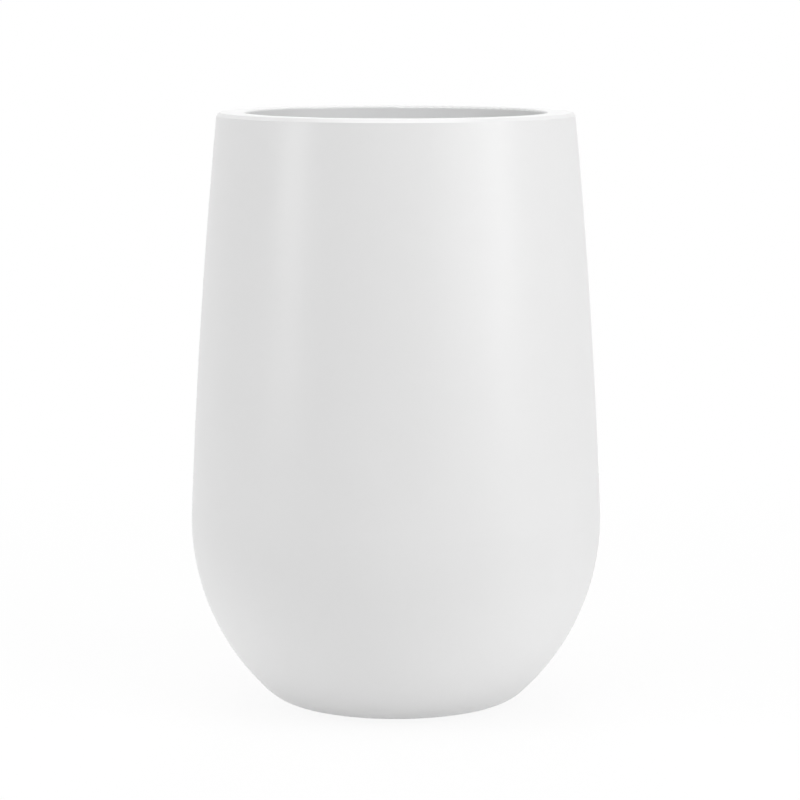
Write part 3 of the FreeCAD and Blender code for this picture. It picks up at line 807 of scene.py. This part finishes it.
@dataclass(frozen=True)
class Softbox:
    """A rectangular studio lamp.

    Attributes:
        name: Its name.
        place: Where its middle hangs.
        target: The point that it faces.
        width: Its width.
        length: Its length.
        brightness: Light that its face gives, where 1 is white.
        mirrored: False if glossy surfaces don't show it.
    """

    name: str
    place: Point
    target: Point
    width: float
    length: float
    brightness: float
    mirrored: bool = True

    # Watts that a square metre of lamp takes for a brightness of 1.
    WATTS_PER_AREA = 4.0

    def build(self) -> None:
        """Adds the lamp, which the camera doesn't see."""
        data = bpy.data.lights.new(self.name, "AREA")
        data.shape = "RECTANGLE"
        data.size, data.size_y = self.width, self.length
        data.energy = self.brightness * self.WATTS_PER_AREA * self.width * self.length
        lamp = bpy.data.objects.new(self.name, data)
        lamp.location = self.place
        facing = Vector(self.target) - lamp.location
        lamp.rotation_euler = facing.to_track_quat("-Z", "Y").to_euler()
        lamp.visible_camera = False
        lamp.visible_glossy = self.mirrored
        bpy.context.scene.collection.objects.link(lamp)


@dataclass(frozen=True)
class Fade:
    """A value on the floor that changes with the distance from the planter's axis.

    Attributes:
        near: Distance up to which it has its first value.
        far: Distance from which it has its last value.
        first: Value by the planter.
        last: Value away from the planter.
    """

    near: float
    far: float
    first: float
    last: float

    def over(self, graph: Graph) -> Socket:
        """Gives the value at each point of the floor.

        Args:
            graph: The floor's node tree.

        Returns:
            The socket with the value.
        """
        away = graph.add("ShaderNodeVectorMath", {"Vector": graph.place()})
        away.operation = "LENGTH"
        return graph.spread(away.outputs["Value"], (self.near, self.far), (self.first, self.last))


@dataclass
class Studio:
    """Plain white studio: a pale floor, soft light from all round and seven softboxes.

    Attributes:
        floor_reach: Half the floor's width.
        floor_colour: Colour of the floor.
        floor_light: Light that the floor itself gives, as a photographer's light table does.
        floor_glow: Share of plain white in what the camera sees of the floor. The rest shows the shadow.
        ambient: Light from all round, where 1 is white.
        lamps: The softboxes.
    """

    floor_reach: float = 12.0
    floor_colour: Colour = (0.95, 0.95, 0.95)
    floor_light: Fade = Fade(near=0.08, far=0.3, first=0.04, last=0.13)
    floor_glow: Fade = Fade(near=0.25, far=1.6, first=0.9, last=1.0)
    ambient: float = 0.09
    lamps: tuple[Softbox, ...] = (
        Softbox(
            "strip_left", place=(-1.97, -0.98, 1.15), target=(0, 0, 0.4),
            width=0.66, length=1.8, brightness=2.5,
        ),
        Softbox(
            "softbox_right", place=(1.35, -1.73, 1.15), target=(0, 0, 0.4),
            width=0.8, length=1.8, brightness=1.35,
        ),
        Softbox(
            "softbox_side", place=(1.94, -1.03, 1.15), target=(0, 0, 0.4),
            width=0.9, length=1.8, brightness=2.4,
        ),
        # The rim's flat top would mirror this lamp at a grazing angle and burn out.
        Softbox(
            "softbox_back", place=(0, 2.3, 1.25), target=(0, 0, 0.35),
            width=1.0, length=1.8, brightness=2.4, mirrored=False,
        ),
        Softbox(
            "overhead", place=(0, 0, 2.4), target=(0, 0, 0),
            width=2.0, length=2.0, brightness=1.28,
        ),
        Softbox(
            "overhead_front", place=(0.1, -1.1, 2.3), target=(0, 0, 0.5),
            width=1.8, length=1.2, brightness=1.1,
        ),
        Softbox(
            "floor_wash", place=(-1.9, -0.2, 1.5), target=(-1.9, -0.2, 0),
            width=1.2, length=1.2, brightness=1.2,
        ),
    )

    def build(self) -> None:
        """Adds floor, surroundings and lamps."""
        self.add_floor()
        self.add_surroundings()
        for lamp in self.lamps:
            lamp.build()

    def seen(self, graph: Graph) -> Socket:
        """Tells the rays that see the studio as a white background from those that carry its light.

        Args:
            graph: The node tree of the floor or of the world.

        Returns:
            The socket that is 1 for the first kind of ray and 0 for the other.
        """
        rays = graph.add("ShaderNodeLightPath").outputs
        total = rays[SeenBy.CAMERA.value]
        for kind in (SeenBy.GLOSS, SeenBy.GLASS):
            larger = graph.add("ShaderNodeMath", {0: total, 1: rays[kind.value]})
            larger.operation = "MAXIMUM"
            total = larger.outputs["Value"]
        return total

    def add_floor(self) -> None:
        """Adds the floor, which the camera sees as white with the planter's shadow, and clear from below."""
        reach = self.floor_reach
        data = bpy.data.meshes.new("floor")
        corners = [(-reach, -reach, 0), (reach, -reach, 0), (reach, reach, 0), (-reach, reach, 0)]
        data.from_pydata(corners, [], [(0, 1, 2, 3)])
        material = bpy.data.materials.new("studio_floor")
        material.use_nodes = True
        self.shade_floor(Graph(material.node_tree, "ShaderNodeOutputMaterial"))
        data.materials.append(material)
        floor = bpy.data.objects.new("floor", data)
        bpy.context.scene.collection.objects.link(floor)

    def shade_floor(self, graph: Graph) -> None:
        """Fills the floor's node tree.

        Args:
            graph: The node tree.
        """
        matt = graph.shader("ShaderNodeAddShader", {
            0: graph.shader("ShaderNodeBsdfDiffuse", {"Color": (*self.floor_colour, 1)}),
            1: graph.shader("ShaderNodeEmission", {"Strength": self.floor_light.over(graph)}),
        })
        glow = graph.shader("ShaderNodeEmission", {"Color": WHITE, "Strength": 1.0})
        lit = graph.mixed(self.floor_glow.over(graph), matt, glow)
        top = graph.mixed(self.seen(graph), matt, lit)
        clear = graph.shader("ShaderNodeBsdfTransparent")
        from_below = graph.add("ShaderNodeNewGeometry").outputs["Backfacing"]
        graph.finish(graph.mixed(from_below, top, clear))

    def add_surroundings(self) -> None:
        """Makes the world white to look at, with a plain level of light from all round."""
        world = bpy.data.worlds.new("studio")
        world.use_nodes = True
        bpy.context.scene.world = world
        graph = Graph(world.node_tree, "ShaderNodeOutputWorld")
        light = graph.shader("ShaderNodeBackground", {"Color": WHITE, "Strength": self.ambient})
        white = graph.shader("ShaderNodeBackground", {"Color": WHITE, "Strength": 1.0})
        graph.finish(graph.mixed(self.seen(graph), light, white))


def main() -> None:
    """Builds the planter's pieces and the studio, in order."""
    logging.basicConfig(level=logging.INFO, format="%(name)s: %(message)s")
    bpy.context.scene.view_settings.view_transform = "Standard"
    for part in (Vessel(), Liner(), Bails(), Reservoir(), LevelGauge(), PhotoCamera(), Studio()):
        part.build()


if __name__ == "__main__":
    main()
